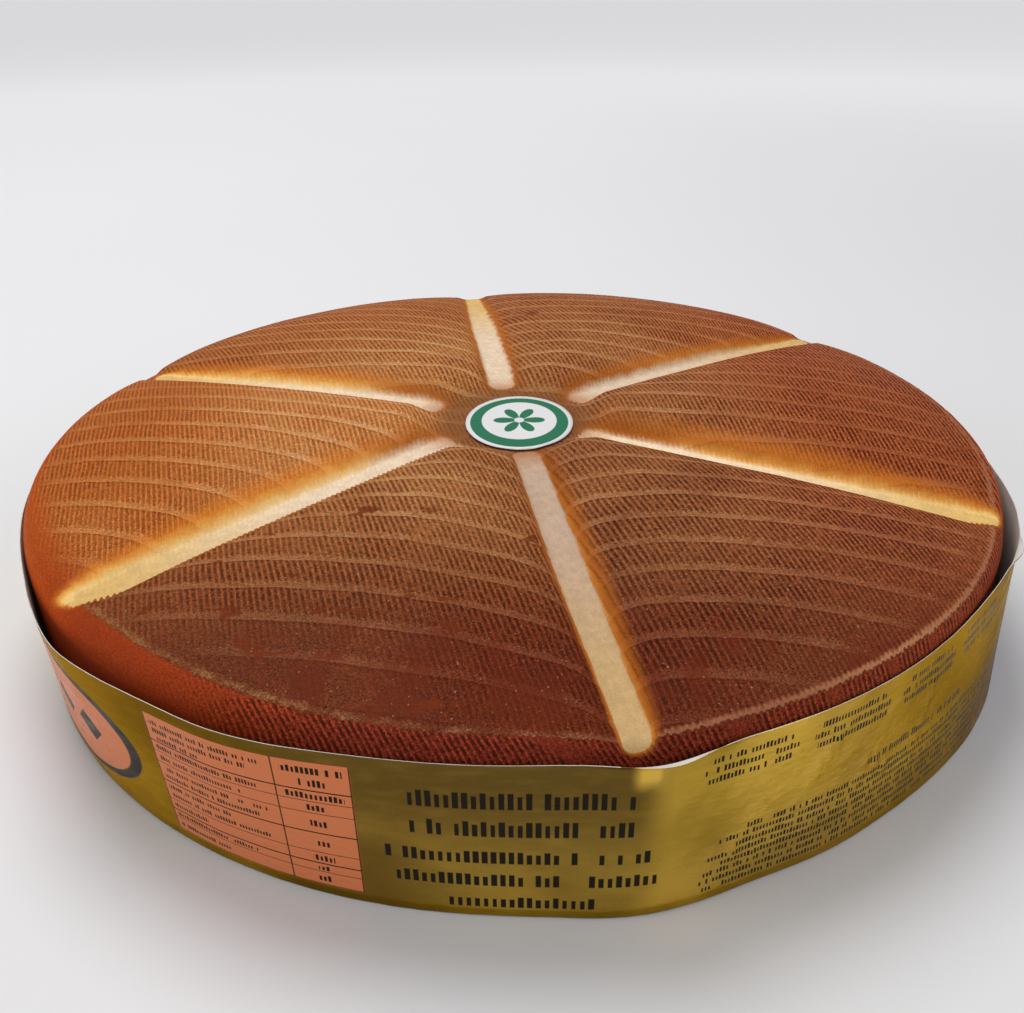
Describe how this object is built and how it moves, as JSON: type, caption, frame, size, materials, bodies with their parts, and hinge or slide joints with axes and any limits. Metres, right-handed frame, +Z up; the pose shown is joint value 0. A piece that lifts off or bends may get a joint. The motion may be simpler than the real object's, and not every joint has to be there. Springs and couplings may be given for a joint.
{
  "type": "smoked raclette cheese",
  "caption": "Whole low round smoked cheese with grooves pressed between pillow-like sectors, a foil paper band round the side and an oval label at the hub.",
  "frame": {"origin": "middle of the bounding box at the level of the flat underside, on the counter", "axes": "+Z up through the wheel, -Y to the front of the picture, +X to the right of the picture"},
  "size_m": [0.336, 0.336, 0.0647],
  "materials": {
    "smoked_rind": "brown smoked cheese rind, faintly waxy, with pale grooves",
    "gold_paper": "gold foil laminated to thin white paper",
    "label_paper": "smooth coated white paper with a green ring"
  },
  "bodies": {
    "root": {"cheese": "smoked_rind", "band": "gold_paper", "label": "label_paper"}
  },
  "joints": []
}
